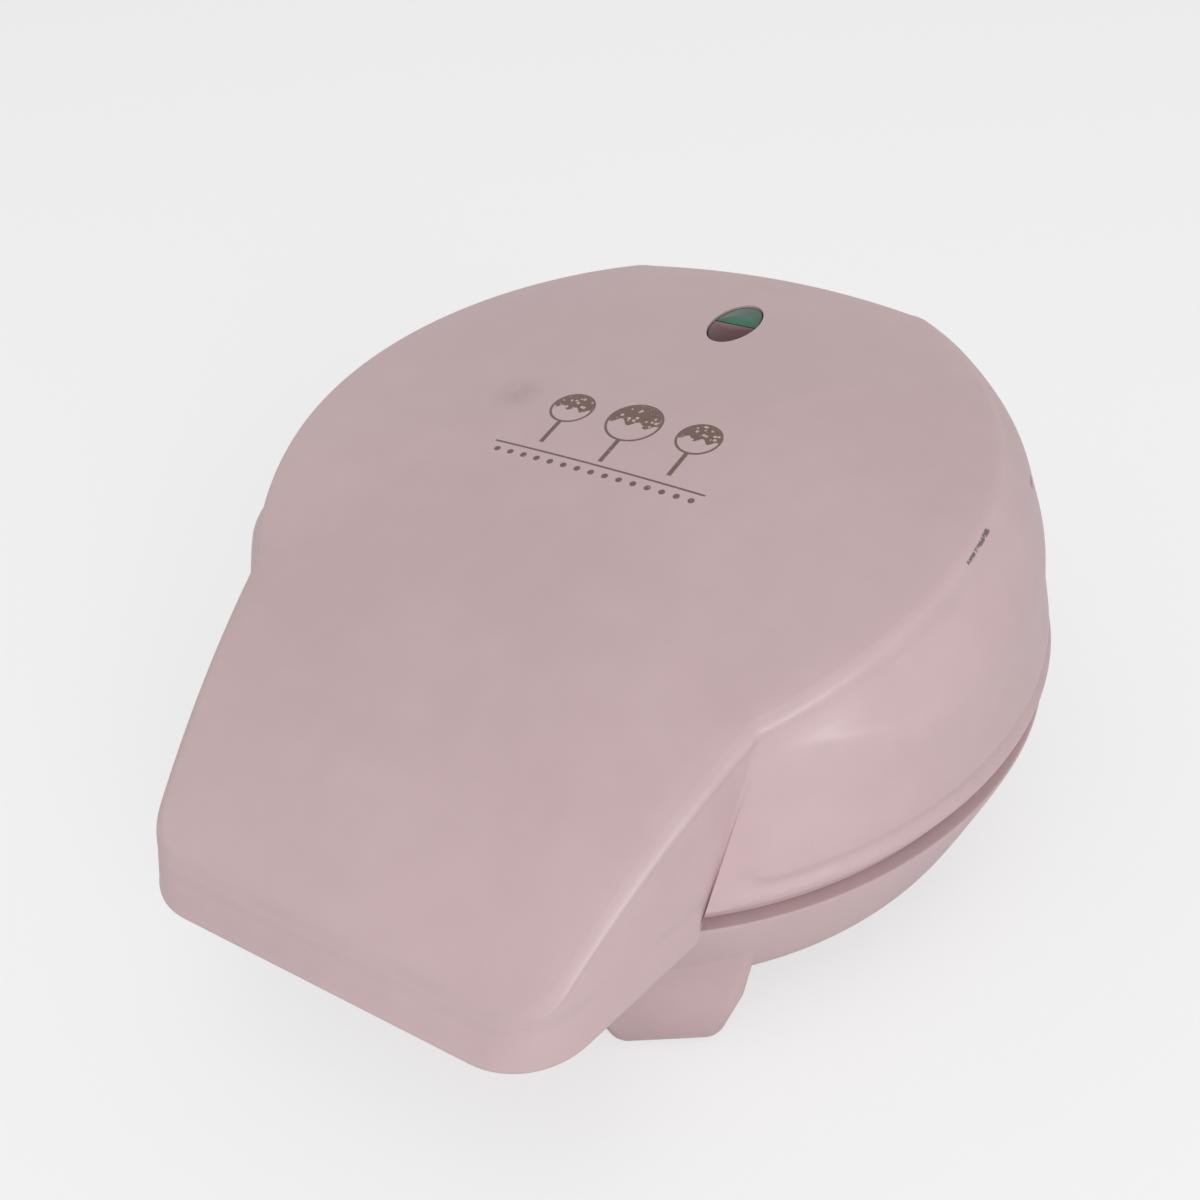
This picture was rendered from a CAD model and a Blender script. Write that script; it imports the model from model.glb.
import math

import bmesh
import bpy
from mathutils import Matrix, Vector


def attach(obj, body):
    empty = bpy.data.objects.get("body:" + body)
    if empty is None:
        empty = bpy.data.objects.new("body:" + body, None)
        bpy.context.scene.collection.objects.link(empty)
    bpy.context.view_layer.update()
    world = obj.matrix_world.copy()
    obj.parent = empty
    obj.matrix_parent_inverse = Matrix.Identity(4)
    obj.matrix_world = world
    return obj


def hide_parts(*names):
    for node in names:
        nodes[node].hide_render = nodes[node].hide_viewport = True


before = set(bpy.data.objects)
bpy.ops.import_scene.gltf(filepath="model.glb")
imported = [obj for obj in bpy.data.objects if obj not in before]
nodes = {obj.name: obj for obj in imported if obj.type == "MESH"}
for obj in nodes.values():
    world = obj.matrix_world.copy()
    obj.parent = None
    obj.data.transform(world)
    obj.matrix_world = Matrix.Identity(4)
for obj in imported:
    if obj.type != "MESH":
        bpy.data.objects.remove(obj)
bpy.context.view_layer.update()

collection = bpy.context.scene.collection
bodyShift = 0.0132  # the round body's axis, along Y
fit = 0.0003  # gap between pieces that touch
wall = 0.0024  # of the pink mouldings

print("frame loaded:", len(nodes), "nodes")


# Sums written as plain expressions: each one adds its Math node

class Signal:
    def __init__(self, tree, socket):
        self.tree = tree
        self.socket = socket

    def maths(self, operation, first, second):
        return self.tree.node("ShaderNodeMath", {"operation": operation}, {0: first, 1: second})

    def __add__(self, other):
        return self.maths("ADD", self, other)

    def __sub__(self, other):
        return self.maths("SUBTRACT", self, other)

    def __mul__(self, other):
        return self.maths("MULTIPLY", self, other)

    def __truediv__(self, other):
        return self.maths("DIVIDE", self, other)

    def __pow__(self, other):
        return self.maths("POWER", self, other)

    def __radd__(self, other):
        return self.maths("ADD", other, self)

    def __rsub__(self, other):
        return self.maths("SUBTRACT", other, self)

    def __rmul__(self, other):
        return self.maths("MULTIPLY", other, self)

    def __rtruediv__(self, other):
        return self.maths("DIVIDE", other, self)

    def high(self, other):
        return self.maths("MAXIMUM", self, other)

    def size(self):
        return self.maths("ABSOLUTE", self, 0.0)

    def step(self, start, end):
        return self.tree.node("ShaderNodeMapRange", {"interpolation_type": "SMOOTHSTEP"},
                              {0: self, 1: start, 2: end, 3: 0.0, 4: 1.0})


class Tree:
    def __init__(self, nodeTree):
        self.tree = nodeTree

    def feed(self, socket, value):
        if isinstance(value, (list, tuple)) and value and isinstance(value[0], Signal):
            for one in value:
                self.tree.links.new(one.socket, socket)
        elif isinstance(value, Signal):
            self.tree.links.new(value.socket, socket)
        else:
            socket.default_value = value

    def node(self, kind, settings=None, sockets=None, out=0):
        made = self.tree.nodes.new(kind)
        for key, value in (settings or {}).items():
            setattr(made, key, value)
        for key, value in (sockets or {}).items():
            self.feed(made.inputs[key], value)
        return Signal(self, made.outputs[out])

    def split(self, vector):
        parted = self.node("ShaderNodeSeparateXYZ", None, {0: vector})
        outputs = parted.socket.node.outputs
        return Signal(self, outputs[0]), Signal(self, outputs[1]), Signal(self, outputs[2])


class Finish(Tree):
    def __init__(self, name, roughness=0.4, metallic=0.0, **fixed):
        self.material = bpy.data.materials.new(name)
        self.material.use_nodes = True
        super().__init__(self.material.node_tree)
        self.shader = self.tree.nodes["Principled BSDF"]
        self.shader.inputs["Roughness"].default_value = roughness
        self.shader.inputs["Metallic"].default_value = metallic
        for key, value in fixed.items():
            self.shader.inputs[key].default_value = value
        self.place = self.node("ShaderNodeTexCoord", None, None, "Object")

    def stretched(self, scale):
        return self.node("ShaderNodeMapping", None, {"Vector": self.place, "Scale": scale})

    def noise(self, scale, detail=2.0, place=None):
        return self.node("ShaderNodeTexNoise", None,
                         {"Vector": place or self.place, "Scale": scale, "Detail": detail})

    def mix(self, factor, first, second):
        return self.node("ShaderNodeMix", {"data_type": "RGBA"}, {0: factor, 6: first, 7: second},
                         2)

    def bump(self, height, distance, strength=1.0):
        normal = self.node("ShaderNodeBump", None,
                           {"Height": height, "Distance": distance, "Strength": strength})
        self.feed(self.shader.inputs["Normal"], normal)

    def spot(self, x, y, z, radius, soft):
        offset = self.node("ShaderNodeVectorMath", {"operation": "DISTANCE"},
                           {0: self.place, 1: (x, y + bodyShift, z)}, "Value")
        return 1 - offset.step(radius, radius + soft)

    def done(self, colour, roughness=None):
        self.feed(self.shader.inputs["Base Color"], colour)
        if roughness is not None:
            self.feed(self.shader.inputs["Roughness"], roughness)
        return self.material


# Finishes

plastic = dict(light=(0.585, 0.432, 0.440, 1), shade=(0.545, 0.398, 0.408, 1),
               dust=(0.40, 0.33, 0.32, 1), dirt=(0.035, 0.030, 0.030, 1), roughness=0.36)
printInk = dict(colour=(0.120, 0.062, 0.040, 1), middleY=-0.0017, ball=0.0064, spacing=0.0185,
                pops=((-1, 0.88), (0, 1.12), (1, 0.88)), waves=9.0, waveShare=0.14,
                icingShare=0.08, sprinkleScale=620.0, stickWidth=0.00062, stickLength=0.0088,
                lift=0.0052, line=0.00042, blur=0.0001, ruleY=-0.0148, ruleHalf=0.0300,
                ruleRise=0.0026, ruleWidth=0.0002, dotPitch=0.0040, dotRadius=0.00085)
# marks on the lid: place and radius, and for the smear its soft edge
smearSpot = (-0.0363, 0.0047, 0.1134, 0.0006, 0.0085)
specks = ((0.0724, -0.0653, 0.0979, 0.00042), (0.0644, -0.1012, 0.0814, 0.0005),
          (0.0215, -0.0890, 0.0905, 0.00022))
seamLine = dict(radius=0.0923, centreY=-0.0045, z=0.1092, rise=0.0015, spot=0.00022,
                growth=0.00028, start=-1.7, pitch=0.46, count=16)


def popPrint(finish):
    # three cake pops on sticks with icing, over a dotted rule, all as distances in the panel's plane
    x, y, _ = finish.split(finish.place)
    y = y - (bodyShift + printInk["middleY"])
    ink = None
    blur = printInk["blur"]
    for place, grow in printInk["pops"]:
        across = x - place * printInk["spacing"]
        ball = printInk["ball"] * grow
        along = y - printInk["lift"]
        away = (across * across + along * along) ** 0.5
        line = printInk["line"]
        edge = 1 - (away - ball).size().step(line * 0.6, line)
        wave = finish.node("ShaderNodeMath", {"operation": "SINE"},
                           {0: across * (printInk["waves"] / ball)})
        icing = along - wave * (ball * printInk["waveShare"]) + ball * printInk["icingShare"]
        icing = icing.step(-line * 0.3, line * 0.3)
        inside = 1 - away.step(ball - line, ball - line * 0.4)
        speck = finish.node("ShaderNodeTexVoronoi", None,
                            {"Vector": finish.place, "Scale": printInk["sprinkleScale"]},
                            "Distance")
        sprinkle = speck.step(0.26, 0.34)
        cap = icing * inside * sprinkle
        stickTop = printInk["lift"] - ball
        below = (y - stickTop + printInk["stickLength"] / 2).size() - printInk["stickLength"] / 2
        width = across.size() - printInk["stickWidth"]
        stick = 1 - below.high(width).step(-blur, blur)
        part = edge.high(cap).high(stick)
        ink = part if ink is None else ink.high(part)
    fold = finish.node("ShaderNodeMath", {"operation": "PINGPONG"},
                       {0: x, 1: printInk["dotPitch"] / 2})
    drop = y - printInk["ruleY"]
    dotAway = (fold * fold + drop * drop) ** 0.5
    dots = 1 - dotAway.step(printInk["dotRadius"] - blur, printInk["dotRadius"] + blur)
    dots = dots * (1 - x.size().step(printInk["ruleHalf"], printInk["ruleHalf"] + blur * 2))
    width = printInk["ruleWidth"]
    rule = (drop - printInk["ruleRise"]).size().high(x.size() - printInk["ruleHalf"])
    rule = 1 - rule.step(width, width * 2)
    return ink.high(dots).high(rule)


def seamSpots():
    spots = []
    last = seamLine["count"] - 1
    for index in range(seamLine["count"]):
        turn = math.radians(seamLine["start"] + seamLine["pitch"] * index)
        spots.append((seamLine["radius"] * math.cos(turn),
                      seamLine["centreY"] + seamLine["radius"] * math.sin(turn),
                      seamLine["z"] + seamLine["rise"] * index / last,
                      seamLine["spot"] + seamLine["growth"] * index / last))
    return spots


def pinkPlastic(name, marked=False, rimZ=None, tint=1.0):
    light = tuple(value * tint for value in plastic["light"][:3]) + (1,)
    shade = tuple(value * tint for value in plastic["shade"][:3]) + (1,)
    finish = Finish(name, plastic["roughness"], **{"Specular IOR Level": 0.42})
    cloud = finish.noise(11.0, 3.0)
    mottle = finish.noise(95.0, 4.0)
    peel = finish.noise(520.0, 1.0)
    grain = finish.noise(2600.0, 2.0)
    colour = finish.mix((cloud * 0.7 + mottle * 0.3).step(0.34, 0.66), shade, light)
    motes = finish.noise(780.0, 3.0).step(0.70, 0.76)
    colour = finish.mix(motes * 0.22, colour, plastic["dust"])
    hair = finish.noise(1.0, 2.0, finish.stretched((26.0, 1500.0, 60.0))).step(0.70, 0.78)
    roughness = plastic["roughness"] + cloud * 0.05 + mottle * 0.04 + hair * 0.10 - 0.04
    if rimZ is not None:
        height = finish.split(finish.place)[2]
        film = (1 - (height - rimZ).size().step(0.0004, 0.0022)) * mottle.step(0.40, 0.62)
        colour = finish.mix(film * 0.16, colour, plastic["dust"])
        roughness = roughness + film * 0.12
    if marked:
        ink = popPrint(finish)
        worn = finish.noise(1400.0, 3.0).step(0.26, 0.36)
        colour = finish.mix(ink * worn * 0.92, colour, printInk["colour"])
        smear = finish.spot(*smearSpot) * mottle.step(0.3, 0.7)
        colour = finish.mix(smear * 0.34, colour, plastic["dirt"])
        for x, y, z, radius in specks:
            speck = finish.spot(x, y, z, radius, 0.0003)
            colour = finish.mix(speck * 0.92, colour, plastic["dirt"])
        ragged = finish.noise(900.0, 2.0).step(0.40, 0.50)
        seam = None
        for x, y, z, radius in seamSpots():
            mark = finish.spot(x, y, z, radius, 0.0005)
            seam = mark if seam is None else seam.high(mark)
        colour = finish.mix(seam * ragged * 0.8, colour, plastic["dirt"])
        roughness = roughness + ink * 0.10
    finish.bump(peel * 0.7 + grain * 0.3 - hair * 0.25, 0.00005, 0.55)
    return finish.done(colour, roughness)


def coatedMetal(name):
    finish = Finish(name, 0.38, 0.0, **{"Specular IOR Level": 0.6})
    fleck = finish.noise(2300.0, 3.0).step(0.60, 0.68)
    haze = finish.noise(45.0, 4.0)
    colour = finish.mix(haze, (0.020, 0.020, 0.022, 1), (0.036, 0.035, 0.036, 1))
    colour = finish.mix(fleck * 0.35, colour, (0.13, 0.13, 0.13, 1))
    burnt = finish.noise(140.0, 4.0).step(0.62, 0.74)
    colour = finish.mix(burnt * 0.30, colour, (0.060, 0.038, 0.024, 1))
    finish.bump(finish.noise(1900.0, 2.0), 0.00004, 0.6)
    return finish.done(colour, 0.30 + haze * 0.14 + burnt * 0.10)


def brightMetal(name, tone, roughness=0.3, tarnish=0.35, streak=(30.0, 30.0, 900.0)):
    finish = Finish(name, roughness, 1.0)
    drawn = finish.noise(1.0, 3.0, finish.stretched(streak))
    cloud = finish.noise(130.0, 4.0)
    dull = tuple(value * 0.55 for value in tone) + (1,)
    colour = finish.mix(cloud.step(0.45, 0.75) * tarnish, tuple(tone) + (1,), dull)
    finish.bump(drawn * 0.6 + cloud * 0.4, 0.00003, 0.6)
    return finish.done(colour, roughness + drawn * 0.14 + cloud * 0.10 - 0.08)


def heatedTube(name):
    finish = Finish(name, 0.45, 0.85)
    patch = finish.noise(70.0, 4.0)
    fine = finish.noise(900.0, 3.0)
    colour = finish.mix(patch.step(0.38, 0.64), (0.20, 0.19, 0.18, 1), (0.34, 0.27, 0.20, 1))
    finish.bump(fine, 0.00005, 0.5)
    return finish.done(colour, 0.38 + fine * 0.2)


def mattRubber(name, tone=(0.028, 0.028, 0.030)):
    finish = Finish(name, 0.72, **{"Specular IOR Level": 0.35})
    grain = finish.noise(1700.0, 3.0)
    dust = finish.noise(160.0, 4.0).step(0.52, 0.72)
    colour = finish.mix(dust * 0.45, tuple(tone) + (1,), (0.12, 0.11, 0.10, 1))
    finish.bump(grain, 0.00006, 0.8)
    return finish.done(colour, 0.62 + grain * 0.2)


def wireSleeve(name, tone):
    finish = Finish(name, 0.5)
    weave = finish.noise(1.0, 1.0, finish.stretched((2400.0, 2400.0, 2400.0)))
    grime = finish.noise(210.0, 3.0)
    colour = finish.mix(grime.step(0.42, 0.72) * 0.4, tuple(tone) + (1,),
                        tuple(value * 0.6 for value in tone) + (1,))
    finish.bump(weave, 0.00004, 0.6)
    return finish.done(colour, 0.46 + weave * 0.12)


def mouldedIvory(name, tone=(0.66, 0.62, 0.52)):
    finish = Finish(name, 0.5)
    cloud = finish.noise(120.0, 3.0)
    grain = finish.noise(1600.0, 2.0)
    colour = finish.mix(cloud.step(0.35, 0.7), tuple(tone) + (1,),
                        tuple(value * 0.86 for value in tone) + (1,))
    finish.bump(grain, 0.00004, 0.6)
    return finish.done(colour, 0.44 + cloud * 0.12)


def tintedLens(name, deep, bright):
    finish = Finish(name, 0.18, **{"Coat Weight": 0.15, "Coat Roughness": 0.08,
                                   "Specular IOR Level": 0.32})
    x, y, _ = finish.split(finish.place)
    ribs = finish.node("ShaderNodeMath", {"operation": "SINE"}, {0: x * 6200.0})
    glow = finish.noise(210.0, 3.0)
    edge = (x * x + (y - bodyShift - lens["y"]) * (y - bodyShift - lens["y"])) ** 0.5
    colour = finish.mix((glow * 0.6 + edge * 60.0).step(0.2, 0.95), bright, deep)
    finish.bump(ribs * 0.5 + glow * 0.5, 0.00006, 0.35)
    return finish.done(colour, 0.12 + glow * 0.10)


def lampGlass(name, tone):
    finish = Finish(name, 0.1, **{"Transmission Weight": 0.6, "IOR": 1.46})
    stain = finish.noise(420.0, 3.0)
    colour = finish.mix(stain.step(0.4, 0.7), tuple(tone) + (1,),
                        tuple(value * 0.7 for value in tone) + (1,))
    finish.bump(stain, 0.00003, 0.4)
    return finish.done(colour, 0.08 + stain * 0.12)


# Outlines, seen from above

def smooth(value):
    value = min(max(value, 0), 1)
    return value * value * (3 - 2 * value)


def between(low, high, share):
    return low + (high - low) * share


def insetOutline(outline, distance):
    inner = dict(outline)
    slope = (outline["root"] - outline["tip"]) / (outline["rootY"] - outline["tipY"])
    for key in ("radius", "reach"):
        inner[key] = outline[key] - distance
    for key in ("tip", "root"):
        inner[key] = outline[key] - distance * math.sqrt(1 + slope ** 2)
    inner["neck"] = outline["neck"] + min(distance, outline["neck"])
    inner["corner"] = max(outline["corner"] - distance, outline["corner"] / 4)
    if outline["back"] is not None:
        inner["back"] = outline["back"] - distance
    return inner


def arcPoints(centre, radius, start, end, steps):
    points = []
    for step in range(steps):
        angle = start + (end - start) * step / steps
        points.append(centre + radius * Vector((math.cos(angle), math.sin(angle))))
    return points


def linePoints(start, end, steps):
    return [start.lerp(end, step / steps) for step in range(steps)]


def halfOutline(outline, steps):
    centre = Vector((0, outline["centreY"]))
    tip = Vector((outline["tip"], outline["tipY"]))
    root = Vector((outline["root"], outline["rootY"]))
    along = (root - tip).normalized()
    out = Vector((along.y, -along.x))
    corner = outline["corner"]
    lineStart = tip - out * corner
    cornerCentre = lineStart + along * ((corner - outline["reach"] - lineStart.y) / along.y)
    front = Vector((cornerCentre.x, -outline["reach"]))
    sideStart = cornerCentre + out * corner
    neck = outline["neck"]
    neckStart = tip + out * neck - centre
    halfB = neckStart.dot(along)
    rest = neckStart.length_squared - (outline["radius"] + neck) ** 2
    neckCentre = centre + neckStart + along * (-halfB - math.sqrt(halfB ** 2 - rest))
    toCentre = centre - neckCentre
    neckEnd = math.atan2(toCentre.y, toCentre.x) % math.tau
    neckAngle = math.atan2(-out.y, -out.x) % math.tau
    points = linePoints(Vector((0, -outline["reach"])), front, steps["tip"])
    points += arcPoints(cornerCentre, corner, -math.pi / 2, math.atan2(out.y, out.x), steps["corner"])
    points += linePoints(sideStart, neckCentre - out * neck, steps["side"])
    points += arcPoints(neckCentre, neck, neckAngle, neckEnd, steps["neck"])
    if outline["back"] is None:
        points += arcPoints(centre, outline["radius"], neckEnd - math.pi, math.pi / 2, steps["arc"])
        points.append(Vector((0, centre.y + outline["radius"])))
        return points
    backCorner = outline["backCorner"]
    innerRadius = outline["radius"] - backCorner
    rise = outline["back"] - backCorner - centre.y
    backCentre = Vector((math.sqrt(innerRadius ** 2 - rise ** 2), outline["back"] - backCorner))
    backAngle = math.atan2(rise, backCentre.x)
    points += arcPoints(centre, outline["radius"], neckEnd - math.pi, backAngle, steps["arc"])
    points += arcPoints(backCentre, backCorner, backAngle, math.pi / 2, steps["backCorner"])
    backEnd = Vector((backCentre.x, outline["back"]))
    lastStretch = linePoints(backEnd, Vector((0, outline["back"])), steps["backLine"])
    for point in lastStretch + [Vector((0, outline["back"]))]:
        swell = outline["bulge"] * (1 - (point.x / backEnd.x) ** 2)
        points.append(point + Vector((0, swell)))
    return points


def wholeOutline(outline, steps, flip=False):
    half = halfOutline(outline, steps)
    if flip:
        half = [Vector((point.x, -point.y)) for point in reversed(half)]
    return half + [Vector((-point.x, point.y)) for point in reversed(half[1:-1])]


def stretchShares(steps):
    beforeNeck = steps["tip"] + steps["corner"] + steps["side"]
    shares = []
    for index in range(sum(steps.values()) + 1):
        neck = min(max((index - beforeNeck) / steps["neck"], 0), 1)
        arc = min(max((index - beforeNeck - steps["neck"]) / steps["arc"], 0), 1)
        shares.append((neck, arc))
    return shares + list(reversed(shares[1:-1]))


# Meshes

def makeMesh(name, vertices, faces):
    mesh = bpy.data.meshes.new(name)
    mesh.from_pydata([(spot[0], spot[1] + bodyShift, spot[2]) for spot in vertices], [], faces)
    work = bmesh.new()
    work.from_mesh(mesh)
    bmesh.ops.remove_doubles(work, verts=work.verts, dist=0.000001)
    bmesh.ops.recalc_face_normals(work, faces=work.faces)
    work.to_mesh(mesh)
    work.free()
    item = bpy.data.objects.new(name, mesh)
    collection.objects.link(item)
    return item


def skin(name, rings, closed=False):
    # one closed skin through rings of equal length; a ring of one point is a pole
    vertices, starts, faces = [], [], []
    for ring in rings:
        starts.append(len(vertices))
        vertices += ring
    pairs = list(zip(range(len(rings)), list(range(1, len(rings))) + [0]))
    for first, second in pairs if closed else pairs[:-1]:
        low, high = rings[first], rings[second]
        count = max(len(low), len(high))
        if count == 1:
            continue
        for step in range(count):
            after = (step + 1) % count
            corners = []
            if len(low) > 1:
                corners += [starts[first] + step, starts[first] + after]
            else:
                corners.append(starts[first])
            if len(high) > 1:
                corners += [starts[second] + after, starts[second] + step]
            else:
                corners.append(starts[second])
            faces.append(tuple(corners))
    if not closed:
        for index in (0, len(rings) - 1):
            if len(rings[index]) > 1:
                faces.append(tuple(starts[index] + step for step in range(len(rings[index]))))
    return makeMesh(name, vertices, faces)


def softened(rings, steps):
    # more rings between each pair, on curves whose slopes are held to the span they cross
    dense = []
    last = len(rings) - 1
    for index in range(last):
        low, high = rings[index], rings[index + 1]
        count = steps[index] if isinstance(steps, (list, tuple)) else steps
        for step in range(count):
            t = step / count
            ring = []
            for spot in range(max(len(low), len(high))):
                start, end = low[spot], high[spot]
                before = rings[index - 1][spot] if index else start * 2 - end
                after = rings[index + 2][spot] if index + 2 <= last else end * 2 - start
                length = (end - start).length
                leave = (end - before).normalized() * length
                arrive = (after - start).normalized() * length
                ring.append(start.lerp(end, t * t * (3 - 2 * t)) + leave * (t * (1 - t) ** 2)
                            - arrive * (t * t * (1 - t)))
            dense.append(ring)
    dense.append(list(rings[-1]))
    return dense


def flat(points, height):
    return [Vector((point.x, point.y, height)) for point in points]


def roundRing(radius, steps, x=0.0, y=0.0):
    return [Vector((x + radius * math.cos(math.tau * step / steps),
                    y + radius * math.sin(math.tau * step / steps))) for step in range(steps)]


def post(name, radius, low, high, x=0.0, y=0.0, steps=32):
    ring = roundRing(radius, steps, x, y)
    return skin(name, [flat(ring, low), flat(ring, high)])


def block(name, low, high, turn=0.0):
    corners = [(x, y) for x, y in ((low[0], low[1]), (high[0], low[1]), (high[0], high[1]),
                                   (low[0], high[1]))]
    turned = [Vector((x * math.cos(turn) - y * math.sin(turn),
                      x * math.sin(turn) + y * math.cos(turn))) for x, y in corners]
    return skin(name, [flat(turned, low[2]), flat(turned, high[2])])


def settle(item):
    # the evaluated shape becomes the plain mesh, and the modifiers go
    bpy.context.view_layer.update()
    result = bpy.data.meshes.new_from_object(
        item.evaluated_get(bpy.context.evaluated_depsgraph_get()))
    item.modifiers.clear()
    item.data = result
    return item


def carve(item, tools, operation="DIFFERENCE"):
    for tool in tools:
        change = item.modifiers.new(operation.lower(), "BOOLEAN")
        change.operation = operation
        change.solver = "EXACT"
        change.object = tool
        settle(item)
        bpy.data.objects.remove(tool, do_unlink=True)
    return item


def dress(item, material, body, replaced=(), sharp=32):
    item.data.materials.clear()
    item.data.materials.append(material)
    item.data.shade_smooth()
    item.data.set_sharp_from_angle(angle=math.radians(sharp))
    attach(item, body)
    if replaced:
        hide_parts(*replaced)
    return item


# Lid cover

lidSteps = dict(tip=12, corner=16, side=14, neck=10, arc=84, backCorner=8, backLine=14)
lidRim = dict(radius=0.105, centreY=-0.0025, reach=0.1347, tip=0.0573, tipY=-0.1347, root=0.0668,
              rootY=-0.080, corner=0.019, neck=0.004, back=0.097, backCorner=0.008, bulge=0)
lidCrease = dict(radius=0.0923, centreY=-0.0045, reach=0.130, tip=0.0554, tipY=-0.130, root=0.0696,
                 rootY=-0.070, corner=0.013, neck=0.007, back=0.0775, backCorner=0.009,
                 bulge=0.0045)
lidTop = dict(heights=((-0.130, 0.0611), (-0.070, 0.0951), (0, 0.1118), (0.0775, 0.1195)),
              crown=0.004, middleY=-0.012, rounding=0.0026, drop=0.0016, rings=16)
lidSide = dict(rimZ=0.0575, skirtZ=0.0495, swooshZ=0.088, swooshShare=0.76, startShare=0.2,
               scoopPower=1.7, shoulderPower=0.55, beadStart=0.07, scoopEnd=0.27,
               shoulderEnd=0.55, beadHeight=0.0024, beadEdge=0.0009, grooveHeight=0.0048,
               grooveTopHeight=0.0078, grooveDepth=0.0014, grooveTopDepth=0.0008,
               skirtEdge=0.0012, insideHeight=0.0050, skirtShares=(0.45, 0.68, 0.86, 1))
hinge = dict(y=0.098, z=0.064, radius=0.008, clear=0.0006, towerIn=0.046, towerOut=0.062,
             knuckleIn=0.0284, rootY=0.086, pin=0.0025, pinClear=0.00025, pinIn=0.043,
             pinOut=0.065, footZ=0.0468, slotZ=0.0487, slotBackY=0.1065)
shoulderVent = dict(angle=math.radians(22), near=0.0893, far=0.105, half=0.00225, low=0.1025,
                    high=0.1045)


def creaseHeight(y):
    height = 0
    for index, (place, value) in enumerate(lidTop["heights"]):
        for other, (otherPlace, _) in enumerate(lidTop["heights"]):
            if other != index:
                value *= (y - otherPlace) / (place - otherPlace)
        height += value
    return height


def panelRing(edge, share, sink=0.0):
    middle = Vector((0, lidTop["middleY"]))
    ring = []
    for point in edge:
        spot = middle.lerp(point, share)
        height = creaseHeight(spot.y) + lidTop["crown"] * (1 - share ** 2) - sink
        ring.append(Vector((spot.x, spot.y, height)))
    return ring


panelEdge = wholeOutline(insetOutline(lidCrease, lidTop["rounding"]), lidSteps)


def panelHeight(x, y):
    middle = Vector((0, lidTop["middleY"]))
    ray = Vector((x, y)) - middle
    share = 0
    for start, end in zip(panelEdge, panelEdge[1:] + panelEdge[:1]):
        side = end - start
        turn = ray.cross(side)
        if turn > 0:
            along = (start - middle).cross(ray) / turn
            if 0 <= along <= 1:
                share = turn / (start - middle).cross(side)
                break
    return creaseHeight(y) + lidTop["crown"] * (1 - share ** 2)


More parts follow.
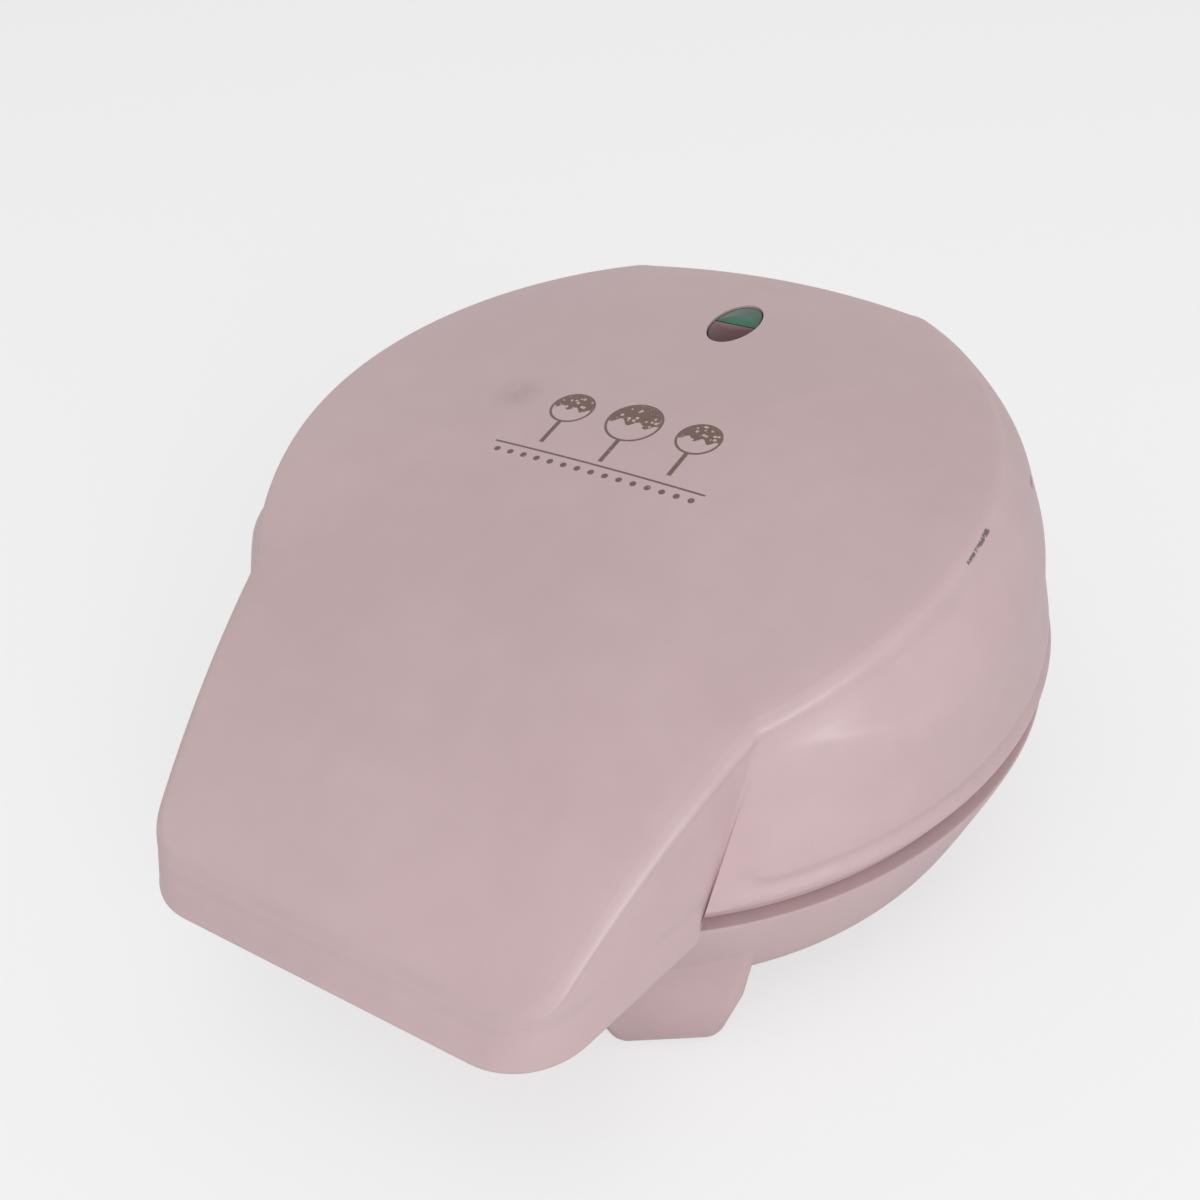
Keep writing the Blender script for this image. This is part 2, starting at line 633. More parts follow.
def lidCoverShape():
    side = lidSide
    rim = wholeOutline(lidRim, lidSteps)
    groove = wholeOutline(insetOutline(lidRim, side["grooveDepth"]), lidSteps)
    grooveTop = wholeOutline(insetOutline(lidRim, side["grooveTopDepth"]), lidSteps)
    edge = wholeOutline(insetOutline(lidRim, side["beadEdge"]), lidSteps)
    rimInside = wholeOutline(insetOutline(lidRim, side["grooveDepth"] + wall), lidSteps)
    crease = wholeOutline(lidCrease, lidSteps)
    creaseInside = wholeOutline(insetOutline(lidCrease, wall), lidSteps)
    panelInside = wholeOutline(insetOutline(lidCrease, lidTop["rounding"] + wall / 2), lidSteps)
    shares = stretchShares(lidSteps)
    span = range(len(rim))
    bead = [smooth(arc / side["beadStart"]) for _, arc in shares]
    scoop = [smooth(arc / side["scoopEnd"]) for _, arc in shares]
    shoulder = [smooth((arc - side["scoopEnd"]) / (side["shoulderEnd"] - side["scoopEnd"]))
                for _, arc in shares]
    power = [between(between(1, side["scoopPower"], scoop[i]), side["shoulderPower"], shoulder[i])
             for i in span]
    bottom = [between(side["skirtZ"], side["rimZ"], neck) for neck, _ in shares]
    top = [creaseHeight(point.y) - lidTop["drop"] for point in crease]
    slant = [top[i] + (bottom[i] - top[i]) * side["startShare"] for i in span]
    swoosh = [between(slant[i], side["swooshZ"], scoop[i]) for i in span]
    swooshShare = [between(side["startShare"], side["swooshShare"], scoop[i]) for i in span]

    def sideRing(upper, lower, along, heights):
        ring = []
        for i in span:
            spot = upper[i].lerp(lower[i], along[i])
            ring.append(Vector((spot.x, spot.y, heights[i])))
        return ring

    def scoopRing(upper, lower, share, sink=0.0):
        along = [swooshShare[i] * share ** power[i] for i in span]
        return sideRing(upper, lower, along, [between(top[i], swoosh[i], share) - sink for i in span])

    def skirtRing(share, beaded, heights):
        ring = []
        for i in span:
            spot = crease[i].lerp(rim[i], share).lerp(beaded[i], bead[i])
            low = between(top[i], bottom[i] + side["skirtEdge"], share)
            ring.append(Vector((spot.x, spot.y, between(low, bottom[i] + heights[i], bead[i]))))
        return ring

    def footRing(spots, height):
        return [Vector((spots[i].x, spots[i].y, bottom[i] + height)) for i in span]

    count = lidTop["rings"]
    middle = creaseHeight(lidTop["middleY"]) + lidTop["crown"]
    rings = [[Vector((0, lidTop["middleY"], middle))]]
    rings += [panelRing(panelEdge, ring / count) for ring in range(1, count)]
    halfWay = [crease[i].lerp(grooveTop[i], (swooshShare[i] + 1) / 2) for i in span]
    halfHeight = [(swoosh[i] - bottom[i] + side["grooveTopHeight"]) / 2 for i in span]
    levels = [panelRing(panelEdge, (count - 1) / count), panelRing(panelEdge, 1),
              sideRing(crease, rim, [0] * len(rim), top)]
    levels += [scoopRing(crease, rim, share) for share in (0.3, 0.65, 1.0)]
    for share, beaded, heights in zip(side["skirtShares"], (halfWay, grooveTop, groove, rim),
                                      (halfHeight, [side["grooveTopHeight"]] * len(rim),
                                       [side["grooveHeight"]] * len(rim),
                                       [side["beadHeight"]] * len(rim))):
        levels.append(skirtRing(share, beaded, heights))
    levels.append(footRing(edge, 0))
    rings += softened(levels, (1, 5, 5, 6, 6, 6, 5, 4, 4, 4))[1:]
    rings.append(footRing(rimInside, 0))
    rings.append(footRing(rimInside, side["insideHeight"]))
    rings += [scoopRing(creaseInside, rimInside, share, wall / 2) for share in (1.0, 0.75, 0.5, 0.25)]
    rings.append(sideRing(creaseInside, rimInside, [0] * len(rim), [height - wall for height in top]))
    rings += [panelRing(panelInside, share, wall) for share in (1.0, 0.75, 0.5, 0.25)]
    rings.append([Vector((0, lidTop["middleY"], middle - wall))])
    return skin("lidCover", rings)


lens = dict(y=0.054, halfLength=0.010, halfWidth=0.0062, crown=0.0006, sink=0.0004, trayTop=0.1135,
            windowTop=0.13, edgeDrop=0.00035, centreShare=0.42, steps=32)


def lensOutline(grow, half=0):
    wide, long, steps = lens["halfWidth"] + grow, lens["halfLength"] + grow, lens["steps"]
    if half == 0:
        return [Vector((wide * math.cos(math.pi * step / steps),
                        lens["y"] + long * math.sin(math.pi * step / steps)))
                for step in range(2 * steps)]
    split = fit / 2
    return [Vector((wide * math.cos(math.pi * step / steps),
                    lens["y"] + half * (split + (long - split) * math.sin(math.pi * step / steps))))
            for step in range(steps + 1)]


screwPlaces = dict(ring=0.0915, angle=math.radians(30), gripX=0.036, gripY=-0.107)
sideScrews = [(screwPlaces["ring"] * math.cos(angle), screwPlaces["ring"] * math.sin(angle))
              for angle in (screwPlaces["angle"], math.pi - screwPlaces["angle"])]
baseScrewPlaces = sideScrews + [(0, -screwPlaces["ring"])]
gripScrewPlaces = [(-screwPlaces["gripX"], screwPlaces["gripY"]),
                   (screwPlaces["gripX"], screwPlaces["gripY"])]


def lidCover():
    cover = lidCoverShape()
    window = lensOutline(fit)
    tools = [skin("window", [flat(window, lens["trayTop"]), flat(window, lens["windowTop"])])]
    low = (hinge["knuckleIn"] - hinge["clear"], hinge["rootY"] - hinge["radius"] / 2,
           hinge["slotZ"])
    high = (hinge["towerOut"] + hinge["clear"], hinge["slotBackY"],
            hinge["z"] + hinge["radius"] + hinge["clear"])
    tools.append(block("slotRight", low, high))
    tools.append(block("slotLeft", (-high[0], low[1], low[2]), (-low[0], high[1], high[2])))
    vent = shoulderVent
    for angle in (vent["angle"], math.pi - vent["angle"]):
        tools.append(block("shoulderVent", (vent["near"], -vent["half"], vent["low"]),
                           (vent["far"], vent["half"], vent["high"]), angle))
    carve(cover, tools)
    return cover


cover = lidCover()
dress(cover, pinkPlastic("glossyPinkLid", marked=True, rimZ=0.0615), "lid",
      ["lid_cover"], sharp=38)
print("lid cover:", len(cover.data.polygons), "faces")


def lensHalf(name, half):
    outline = lensOutline(0, half)
    centre = Vector((0, lens["y"] + half * lens["halfLength"] * lens["centreShare"]))

    def domed(points, extra):
        ring = []
        for point in points:
            away = (point.x / lens["halfWidth"]) ** 2
            away += ((point.y - lens["y"]) / lens["halfLength"]) ** 2
            height = panelHeight(point.x, point.y) - lens["sink"] + extra
            ring.append(Vector((point.x, point.y, height + lens["crown"] * max(0, 1 - away))))
        return ring

    rings = [flat(outline, lens["trayTop"] + fit), domed(outline, -lens["edgeDrop"])]
    rings += [domed([centre.lerp(point, share) for point in outline], 0)
              for share in (0.96, 0.85, 0.7, 0.5, 0.3, 0.15)]
    rings.append(domed([centre], 0))
    return skin(name, rings)


dress(lensHalf("frontLens", -1),
      tintedLens("redLens", (0.050, 0.006, 0.010, 1), (0.125, 0.010, 0.016, 1)),
      "lid", ["lens_red"])
dress(lensHalf("rearLens", 1),
      tintedLens("greenLens", (0.008, 0.050, 0.030, 1), (0.014, 0.135, 0.075, 1)),
      "lid", ["lens_green"])
print("indicator lens done")


# Base shell

baseSteps = dict(tip=10, corner=12, side=2, neck=10, arc=96, backCorner=0, backLine=0)
baseRim = dict(radius=0.1028, centreY=0, reach=0.1065, tip=0.062, tipY=-0.1065, root=0.063,
               rootY=-0.082, corner=0.010, neck=0.005, back=None, backCorner=0)
bowl = dict(levels=((0.0, 0.0479, 0.0), (0.0033, 0.0400, 0.35), (0.0064, 0.0330, 0.4),
                    (0.0103, 0.0245, 0.45), (0.0135, 0.0185, 0.6), (0.0170, 0.0146, 0.85),
                    (0.0210, 0.0129, 1.0), (0.0245, 0.0126, 1.0)),
            rimZ=0.0487, edge=0.0008, upstandInset=0.0034, upstandZ=0.056, blockUpstandZ=0.0505,
            ramp=0.012, blockRootY=0.082, fillet=0.0004)
legs = dict(angles=(math.radians(-57.6), math.radians(57.6), math.pi - math.radians(57.6),
                    math.pi + math.radians(57.6)),
            out=0.0949, inner=0.072, innerTop=0.087, bottomZ=0.0012, kneeZ=0.013, topZ=0.0295,
            bottomHalf=0.0150, kneeHalf=0.0204, topHalf=0.0245, edge=0.0016, corner=0.005,
            seatRadius=0.00825, seatLow=-0.002, seatTop=0.0029)
boss = dict(radius=0.0042, top=0.0365, recess=0.00295, recessTop=0.0300, hole=0.00155,
            holeTop=0.0395)
inletHole = dict(x=-0.030, z=0.037, radius=0.0059, ends=(0.096, 0.1095), steps=32)
floorVent = dict(near=0.030, far=0.050, half=0.0015, low=0.0096, high=0.018, count=8)


def baseLevel(inset, height):
    return flat(wholeOutline(insetOutline(baseRim, inset), baseSteps, True), height)


def upstandRing(inset):
    ring = []
    for point in wholeOutline(insetOutline(baseRim, inset), baseSteps, True):
        share = smooth((point.y - bowl["blockRootY"] + bowl["ramp"]) / bowl["ramp"])
        height = between(bowl["upstandZ"], bowl["blockUpstandZ"], share)
        ring.append(Vector((point.x, point.y, height)))
    return ring


def legRing(angle, half, out, inner, corner, height, steps=8):
    points = []
    for turn, (side, end) in enumerate(((1, 1), (-1, 1), (-1, 0), (1, 0))):
        for step in range(steps):
            bend = math.pi / 2 * (turn + step / (steps - 1))
            across = side * (half - corner) + corner * math.cos(bend)
            along = (out - corner if end else inner + corner) + corner * math.sin(bend)
            spot = angle - across / legs["out"]
            points.append(Vector((along * math.cos(spot), along * math.sin(spot), height)))
    return points


def legShape(angle):
    levels = ((legs["bottomZ"], legs["bottomHalf"], legs["inner"], legs["edge"]),
              (legs["bottomZ"] + legs["edge"] * 0.35, legs["bottomHalf"], legs["inner"],
               legs["edge"] * 0.35),
              (legs["bottomZ"] + legs["edge"], legs["bottomHalf"], legs["inner"], 0),
              (legs["kneeZ"], legs["kneeHalf"], legs["inner"], 0),
              (legs["topZ"], legs["topHalf"], legs["innerTop"], 0))
    rings = []
    for height, half, inner, edge in levels:
        corner = min(legs["corner"], (legs["out"] - inner) / 2 - edge) - edge / 2
        rings.append(legRing(angle, half - edge, legs["out"] - edge, inner + edge, corner, height))
    return skin("leg", rings)


def bowlHeight(distance):
    for (near, high, _), (far, low, _) in zip(bowl["levels"], bowl["levels"][1:]):
        if distance <= far:
            return between(high, low, (distance - near) / (far - near))
    return bowl["levels"][-1][1]


def hingeProfile(start, end, steps=24):
    return [(hinge["y"] + hinge["radius"] * math.cos(start + (end - start) * step / steps),
             hinge["z"] + hinge["radius"] * math.sin(start + (end - start) * step / steps))
            for step in range(steps + 1)]


def crosswise(name, profile, near, far):
    return skin(name, [[Vector((x, y, z)) for y, z in profile] for x in (near, far)])


def roundCrosswise(name, radius, near, far, steps=32):
    profile = [(hinge["y"] + radius * math.cos(math.tau * step / steps),
                hinge["z"] + radius * math.sin(math.tau * step / steps)) for step in range(steps)]
    return crosswise(name, profile, near, far)


def baseShell():
    floorZ = bowl["levels"][-1][1]
    inset = bowl["upstandInset"]
    outer = [baseLevel(bowl["edge"] * 0.25, bowl["rimZ"] - bowl["edge"] * 0.3)]
    outer += [baseLevel(distance, height) for distance, height, _ in bowl["levels"]]
    rings = [upstandRing(inset), baseLevel(inset, bowl["rimZ"] + bowl["fillet"]),
             baseLevel(inset + bowl["fillet"], bowl["rimZ"]), baseLevel(bowl["edge"], bowl["rimZ"])]
    rings += softened(outer, (2, 4, 4, 4, 4, 4, 4, 2))
    rings.append([Vector((0, 0, floorZ))])
    rings.append([Vector((0, 0, floorZ + wall))])
    for distance, height, lean in reversed(bowl["levels"][1:]):
        rings.append(baseLevel(distance + wall * (1 - lean / 3), height + wall * lean))
    rings.append(baseLevel(inset + wall, bowl["rimZ"] - wall))
    rings.append(upstandRing(inset + wall))
    shell = skin("baseShell", rings, closed=True)
    carve(shell, [legShape(angle) for angle in legs["angles"]], "UNION")
    middle = (legs["inner"] + legs["out"]) / 2
    carve(shell, [post("seat", legs["seatRadius"], legs["seatLow"], legs["seatTop"],
                       middle * math.cos(angle), middle * math.sin(angle))
                  for angle in legs["angles"]])
    bosses = []
    for x, y in baseScrewPlaces:
        foot = roundRing(boss["radius"], 24, x, y)
        low = [Vector((spot.x, spot.y, bowlHeight(baseRim["radius"] - spot.length) + wall / 2))
               for spot in foot]
        bosses.append(skin("boss", [low, flat(foot, boss["top"])]))
    carve(shell, bosses, "UNION")
    carve(shell, [post("recess", boss["recess"], 0, boss["recessTop"], x, y)
                  for x, y in baseScrewPlaces])
    carve(shell, [post("hole", boss["hole"], 0, boss["holeTop"], x, y, 20)
                  for x, y in baseScrewPlaces])
    profile = hingeProfile(0, math.pi)
    profile += [(hinge["y"] + side * hinge["radius"], hinge["footZ"]) for side in (-1, 1)]
    for side in (-1, 1):
        tower = crosswise("tower", profile, side * hinge["towerIn"], side * hinge["towerOut"])
        carve(shell, [tower], "UNION")
        hole = roundCrosswise("pinHole", hinge["pin"] + hinge["pinClear"], side * hinge["pinIn"],
                              side * hinge["pinOut"])
        carve(shell, [hole])
    turns = [math.tau * step / inletHole["steps"] for step in range(inletHole["steps"])]
    inlet = [Vector((inletHole["x"] + inletHole["radius"] * math.cos(turn), 0,
                     inletHole["z"] + inletHole["radius"] * math.sin(turn))) for turn in turns]
    carve(shell, [skin("inletHole", [[spot + Vector((0, y, 0)) for spot in inlet]
                                     for y in inletHole["ends"]])])
    vent = floorVent
    carve(shell, [block("floorVent", (vent["near"], -vent["half"], vent["low"]),
                        (vent["far"], vent["half"], vent["high"]),
                        math.tau * index / vent["count"]) for index in range(vent["count"])])
    return shell


shell = dress(baseShell(), pinkPlastic("glossyPinkBase", rimZ=0.0487, tint=0.99), "base",
              ["base_shell"], sharp=38)
print("base shell:", len(shell.data.polygons), "faces")


# Plates: the cavities are one ball, repeated by Geometry Nodes

plateShape = dict(radius=0.0855, thickness=0.0042, cup=0.0165, wall=0.0018, lowerFace=0.0529,
                  upperFace=0.0533, posts=0.0343, postRadius=0.003, postRise=0.0006,
                  middleDrop=0.003, edgeSteps=160, backSteps=(40, 21), cupSteps=(64, 33),
                  cutterSide=0.24, cutterDepth=0.05)
cupRings = ((3, 0.0218, 0), (9, 0.0575, math.radians(20)))  # how many, how far out, first turn
cupPlaces = [(ring * math.cos(turn + math.tau * index / count),
              ring * math.sin(turn + math.tau * index / count))
             for count, ring, turn in cupRings for index in range(count)]


def geometryTree(name, inputs):
    group = bpy.data.node_groups.new(name, "GeometryNodeTree")
    group.interface.new_socket(name="Geometry", in_out="INPUT", socket_type="NodeSocketGeometry")
    for label in inputs:
        group.interface.new_socket(name=label, in_out="INPUT", socket_type="NodeSocketFloat")
    group.interface.new_socket(name="Geometry", in_out="OUTPUT", socket_type="NodeSocketGeometry")
    tree = Tree(group)
    start = group.nodes.new("NodeGroupInput")
    values = {socket.name: Signal(tree, socket) for socket in start.outputs if socket.name}
    return group, tree, values


def finishTree(group, tree, result, material):
    real = tree.node("GeometryNodeRealizeInstances", None, {"Geometry": result})
    painted = tree.node("GeometryNodeSetMaterial", None, {"Geometry": real, "Material": material})
    end = group.nodes.new("NodeGroupOutput")
    tree.feed(end.inputs[0], painted)


def pointCloud(name, points):
    mesh = bpy.data.meshes.new(name)
    mesh.from_pydata([(x, y + bodyShift, z) for x, y, z in points], [], [])
    item = bpy.data.objects.new(name, mesh)
    collection.objects.link(item)
    return item


def grow(item, group, values):
    change = item.modifiers.new("shape", "NODES")
    change.node_group = group
    for socket in group.interface.items_tree:
        if socket.name in values and socket.in_out == "INPUT":
            change[socket.identifier] = values[socket.name]
    return settle(item)


def cupPlateTree(material):
    group, tree, value = geometryTree("cupPlate", ["Plate Radius", "Thickness", "Cup Radius", "Wall",
                                                   "Face Z", "Side", "Centre Y"])
    def at(z):
        return tree.node("ShaderNodeCombineXYZ", None, {0: 0.0, 1: value["Centre Y"], 2: z})
    disc = tree.node("GeometryNodeMeshCylinder", {"fill_type": "NGON"},
                     {"Vertices": plateShape["edgeSteps"], "Radius": value["Plate Radius"],
                      "Depth": value["Thickness"]})
    disc = tree.node("GeometryNodeTransform", None,
                     {"Geometry": disc,
                      "Translation": at(value["Face Z"] + value["Side"] * value["Thickness"] * 0.5)})
    def balls(radius, segments, rings):
        ball = tree.node("GeometryNodeMeshUVSphere", None,
                         {"Segments": segments, "Rings": rings, "Radius": radius})
        placed = tree.node("GeometryNodeInstanceOnPoints", None,
                           {"Points": value["Geometry"], "Instance": ball})
        return tree.node("GeometryNodeRealizeInstances", None, {"Geometry": placed})
    backs = balls(value["Cup Radius"] + value["Wall"], *plateShape["backSteps"])
    whole = tree.node("GeometryNodeMeshBoolean", {"operation": "UNION", "solver": "EXACT"},
                      {"Mesh 2": [disc, backs]})
    wide, deep = plateShape["cutterSide"], plateShape["cutterDepth"]
    front = tree.node("GeometryNodeMeshCube", None, {"Size": (wide, wide, deep)})
    front = tree.node("GeometryNodeTransform", None,
                      {"Geometry": front,
                       "Translation": at(value["Face Z"] - value["Side"] * (deep / 2))})
    whole = tree.node("GeometryNodeMeshBoolean", {"operation": "DIFFERENCE", "solver": "EXACT"},
                      {"Mesh 1": whole, "Mesh 2": [front]})
    cups = balls(value["Cup Radius"], *plateShape["cupSteps"])
    whole = tree.node("GeometryNodeMeshBoolean", {"operation": "DIFFERENCE", "solver": "EXACT"},
                      {"Mesh 1": whole, "Mesh 2": [cups]})
    finishTree(group, tree, whole, material)
    return group


plateFinish = coatedMetal("nonStickCoat")
plateTree = cupPlateTree(plateFinish)
for name, face, side, body, node in (
        ("lowerCupPlate", plateShape["lowerFace"], -1.0, "base", "lower_plate"),
        ("upperCupPlate", plateShape["upperFace"], 1.0, "lid", "upper_plate")):
    item = pointCloud(name, [(x, y, face) for x, y in cupPlaces])
    grow(item, plateTree, {"Plate Radius": plateShape["radius"], "Thickness": plateShape["thickness"],
                           "Cup Radius": plateShape["cup"], "Wall": plateShape["wall"],
                           "Face Z": face, "Side": side, "Centre Y": bodyShift})
    end = face + side * (plateShape["cup"] + plateShape["wall"] + plateShape["postRise"])
    places = [(plateShape["posts"] * math.cos(math.pi / 3 + math.tau * index / 3),
               plateShape["posts"] * math.sin(math.pi / 3 + math.tau * index / 3), end)
              for index in range(3)]
    if body == "base":
        places.append((0, 0, end - plateShape["middleDrop"]))
    stubs = []
    for x, y, far in places:
        low, high = sorted((face + side * plateShape["thickness"] / 2, far))
        stubs.append(post("stub", plateShape["postRadius"], low, high, x, y, 20))
    carve(item, stubs, "UNION")
    dress(item, plateFinish, body, [node], sharp=28)
    print(name, len(item.data.polygons), "faces")


# Screws: one turned, threaded shape with a cross recess, repeated on its points

screwShape = dict(headRadius=0.0027, headHeight=0.0018, shankRadius=0.0013, pitch=0.0010,
                  driveWidth=0.0007, driveReach=0.0017, driveDepth=0.0009, domeShare=0.32,
                  threadShare=0.09)


def screwTree(material):
    group, tree, value = geometryTree("threadedScrew", ["Head Radius", "Head Height", "Shank Radius",
                                                        "Length", "Pitch", "Drive Width",
                                                        "Drive Reach", "Drive Depth"])
    def lifted(mesh, z):
        return tree.node("GeometryNodeTransform", None,
                         {"Geometry": mesh,
                          "Translation": tree.node("ShaderNodeCombineXYZ", None, {2: z})})
    x, y, z = tree.split(tree.node("GeometryNodeInputPosition"))
    head = tree.node("GeometryNodeMeshCylinder", {"fill_type": "NGON"},
                     {"Vertices": 32, "Side Segments": 3, "Fill Segments": 5,
                      "Radius": value["Head Radius"], "Depth": value["Head Height"]})
    head = lifted(head, value["Head Height"] * 0.5)
    reach = (x * x + y * y) / (value["Head Radius"] * value["Head Radius"])
    dome = value["Head Height"] * screwShape["domeShare"]
    rise = reach * reach * (1 - z / value["Head Height"]) * dome
    head = tree.node("GeometryNodeSetPosition", None,
                     {"Geometry": head, "Offset": tree.node("ShaderNodeCombineXYZ", None, {2: rise})})
    bars = []
    for wide, long in ((value["Drive Reach"], value["Drive Width"] * 0.5),
                       (value["Drive Width"] * 0.5, value["Drive Reach"])):
        size = tree.node("ShaderNodeCombineXYZ", None,
                         {0: wide * 2.0, 1: long * 2.0, 2: value["Drive Depth"] * 2.0})
        bars.append(tree.node("GeometryNodeMeshCube", None, {"Size": size}))
    head = tree.node("GeometryNodeMeshBoolean", {"operation": "DIFFERENCE", "solver": "EXACT"},
                     {"Mesh 1": head, "Mesh 2": bars})
    shank = tree.node("GeometryNodeMeshCylinder", {"fill_type": "NGON"},
                      {"Vertices": 16, "Side Segments": 60, "Radius": value["Shank Radius"],
                       "Depth": value["Length"]})
    shank = lifted(shank, value["Head Height"] + value["Length"] * 0.5)
    angle = tree.node("ShaderNodeMath", {"operation": "ARCTAN2"}, {0: y, 1: x})
    turns = tree.node("ShaderNodeMath", {"operation": "SINE"},
                      {0: z * math.tau / value["Pitch"] + angle})
    squeeze = turns * screwShape["threadShare"] - screwShape["threadShare"]
    offset = tree.node("ShaderNodeCombineXYZ", None, {0: x * squeeze, 1: y * squeeze})
    shank = tree.node("GeometryNodeSetPosition", None, {"Geometry": shank, "Offset": offset})
    one = tree.node("GeometryNodeJoinGeometry", None, {"Geometry": [head, shank]})
    placed = tree.node("GeometryNodeInstanceOnPoints", None,
                       {"Points": value["Geometry"], "Instance": one})
    finishTree(group, tree, placed, material)
    return group


steelFinish = brightMetal("zincScrew", (0.62, 0.61, 0.58), 0.32)
threadTree = screwTree(steelFinish)
for name, places, head, length, body, replaced in (
        ("baseScrews", baseScrewPlaces, 0.0279, 0.0137, "base",
         ["base_screw_1", "base_screw_2", "base_screw_3"]),
        ("lidFrameScrews", sideScrews, 0.0536, 0.0121, "lid",
         ["lid_frame_screw_1", "lid_frame_screw_2"]),
        ("gripScrews", gripScrewPlaces, 0.0557, 0.0105, "lid",
         ["grip_screw_1", "grip_screw_2"])):
    item = pointCloud(name, [(x, y, head) for x, y in places])
    grow(item, threadTree, {"Head Radius": screwShape["headRadius"], "Head Height": screwShape["headHeight"],
                            "Shank Radius": screwShape["shankRadius"], "Length": length,
                            "Pitch": screwShape["pitch"], "Drive Width": screwShape["driveWidth"],
                            "Drive Reach": screwShape["driveReach"], "Drive Depth": screwShape["driveDepth"]})
    dress(item, steelFinish, body, replaced, sharp=40)
print("screws done")


# Finishes for the solids that stay as they are

shieldFinish = brightMetal("rolledAluminium", (0.80, 0.80, 0.79), 0.34, 0.25, (900.0, 24.0, 24.0))
pinFinish = brightMetal("steelPin", (0.60, 0.59, 0.58), 0.26, 0.3, (900.0, 30.0, 30.0))
tubeFinish = heatedTube("heaterTube")
rubberFinish = mattRubber("footRubber")
ivoryFinish = mouldedIvory("ivoryMoulding")
kept = {"lid_frame": pinkPlastic("innerLidPink", rimZ=0.0578, tint=0.86),
        "base_frame": pinkPlastic("innerBasePink", rimZ=0.0529, tint=0.86),
        "upper_heater": tubeFinish, "lower_heater": tubeFinish,
        "upper_heat_shield": shieldFinish, "lower_heat_shield": shieldFinish,
        "hinge_pin_left": pinFinish, "hinge_pin_right": pinFinish,
        "lamp_tray": ivoryFinish, "terminal_block": ivoryFinish,
        "thermostat": mouldedIvory("ceramicBody", (0.62, 0.60, 0.56)),
        "thermal_fuse": brightMetal("fuseCan", (0.70, 0.68, 0.60), 0.3),
        "cord_inlet": mattRubber("bushingRubber", (0.035, 0.033, 0.033)),
        "lamp_red": lampGlass("redLampGlass", (0.75, 0.28, 0.16)),
        "lamp_green": lampGlass("greenLampGlass", (0.30, 0.70, 0.40)),
        "base_wire_live": wireSleeve("brownSleeve", (0.16, 0.07, 0.03)),
        "base_wire_switched": wireSleeve("whiteSleeve", (0.62, 0.60, 0.56)),
        "base_wire_link": wireSleeve("paleSleeve", (0.58, 0.56, 0.50)),
        "base_wire_feed": wireSleeve("blueSleeve", (0.05, 0.11, 0.32)),
        "lid_wire_left": wireSleeve("leftLampSleeve", (0.58, 0.55, 0.50)),
        "lid_wire_right": wireSleeve("rightLampSleeve", (0.55, 0.53, 0.50))}
for name, item in nodes.items():
    if name.startswith("rubber_foot"):
        kept[name] = rubberFinish
    elif "screw" in name:
        kept[name] = steelFinish
for name, material in kept.items():
    item = nodes[name]
    if not item.material_slots:
        item.data.materials.append(material)
    for place in item.material_slots:
        place.material = material
print("finishes on kept solids:", len(kept))


# Stage, lamps and camera

studio = dict(floorSize=6.0, floorTone=(0.86, 0.86, 0.87, 1), floorGlow=0.62, ambient=0.50,
              aim=(0, 0, 0.06),
              lamps=(("keyLamp", (1.25, -0.80, 0.80), 10.0, 0.7),
                     ("topLamp", (0.2, -0.5, 1.5), 3.6, 1.0),
                     ("fillLamp", (-1.1, -0.9, 0.7), 1.6, 1.1)))


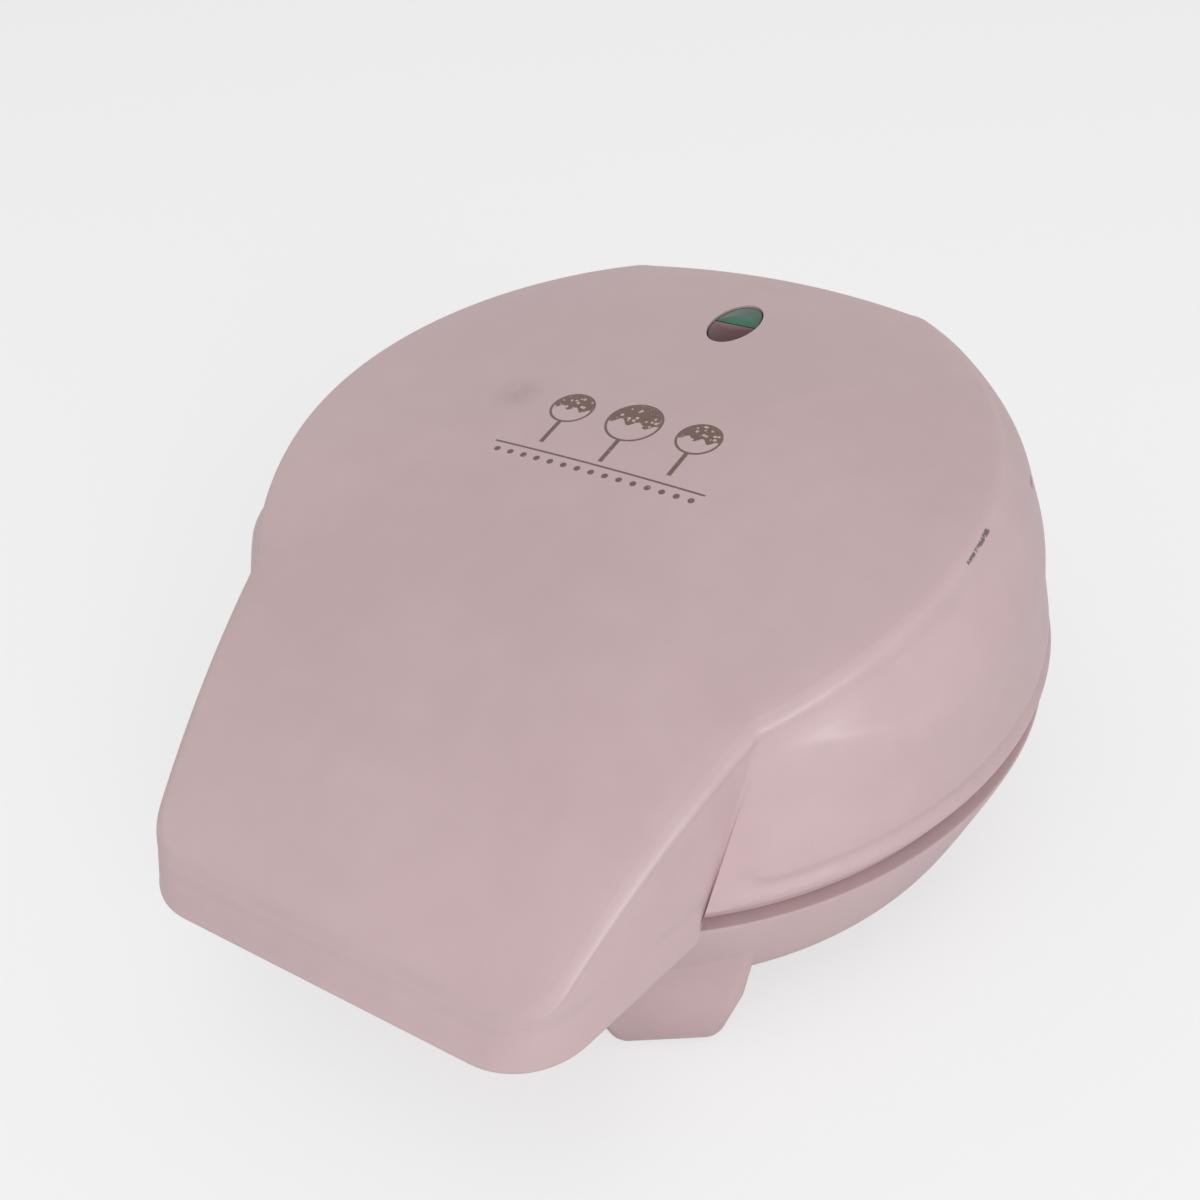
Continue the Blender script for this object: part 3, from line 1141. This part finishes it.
def makeFloor():
    half = studio["floorSize"] / 2
    mesh = bpy.data.meshes.new("floor")
    mesh.from_pydata([(-half, -half, 0), (half, -half, 0), (half, half, 0), (-half, half, 0)], [],
                     [(0, 1, 2, 3)])
    item = bpy.data.objects.new("floor", mesh)
    collection.objects.link(item)
    finish = Finish("paleFloor", 0.8)
    finish.done(studio["floorTone"])
    seen = finish.node("ShaderNodeLightPath", None, None, "Is Camera Ray")
    glow = finish.node("ShaderNodeEmission", None, {"Color": (1, 1, 1, 1), "Strength": 1.0})
    mixed = finish.node("ShaderNodeMixShader", None,
                        {0: seen * studio["floorGlow"], 1: Signal(finish, finish.shader.outputs[0]), 2: glow})
    output = finish.tree.nodes["Material Output"]
    finish.feed(output.inputs["Surface"], mixed)
    mesh.materials.append(finish.material)


def makeWorld():
    world = bpy.data.worlds.new("studio")
    bpy.context.scene.world = world
    world.use_nodes = True
    tree = Tree(world.node_tree)
    path = world.node_tree.nodes.new("ShaderNodeLightPath")
    seen = [Signal(tree, path.outputs[name]) for name in
            ("Is Camera Ray", "Is Glossy Ray", "Is Transmission Ray")]
    white = seen[0].high(seen[1]).high(seen[2])
    back = world.node_tree.nodes["Background"]
    back.inputs["Color"].default_value = (1, 1, 1, 1)
    tree.feed(back.inputs["Strength"], studio["ambient"] + white * (1 - studio["ambient"]))


def makeLamps():
    target = Vector(studio["aim"])
    for name, place, power, size in studio["lamps"]:
        lamp = bpy.data.lights.new(name, "AREA")
        lamp.energy = power
        lamp.size = size
        item = bpy.data.objects.new(name, lamp)
        item.location = place
        item.rotation_mode = "QUATERNION"
        item.rotation_quaternion = (target - Vector(place)).to_track_quat("-Z", "Y")
        collection.objects.link(item)


cameraView = dict(place=(0.1992, -0.2772, 0.3174), right=(0.832, 0.5462, -0.0968),
                  up=(-0.2632, 0.5424, 0.7978), back=(0.4883, -0.6384, 0.595),
                  focal=1608.09, shiftX=5.6, shiftY=1.5, frame=1200, sensor=36)


def makeCamera():
    data = bpy.data.cameras.new("camera")
    data.sensor_width = cameraView["sensor"]
    data.lens = cameraView["sensor"] * cameraView["focal"] / cameraView["frame"]
    data.shift_x = -cameraView["shiftX"] / cameraView["frame"]
    data.shift_y = cameraView["shiftY"] / cameraView["frame"]
    data.clip_start = 0.01
    item = bpy.data.objects.new("camera", data)
    columns = [Vector(cameraView[key]).normalized() for key in ("right", "up", "back")]
    turn = Matrix(columns).transposed().to_4x4()
    place = Vector(cameraView["place"]) + Vector((0, bodyShift, 0))
    item.matrix_world = Matrix.Translation(place) @ turn
    collection.objects.link(item)
    bpy.context.scene.camera = item


makeFloor()
makeWorld()
makeLamps()
makeCamera()
bpy.context.scene.view_settings.view_transform = "Standard"
print("stage, lamps and camera set")
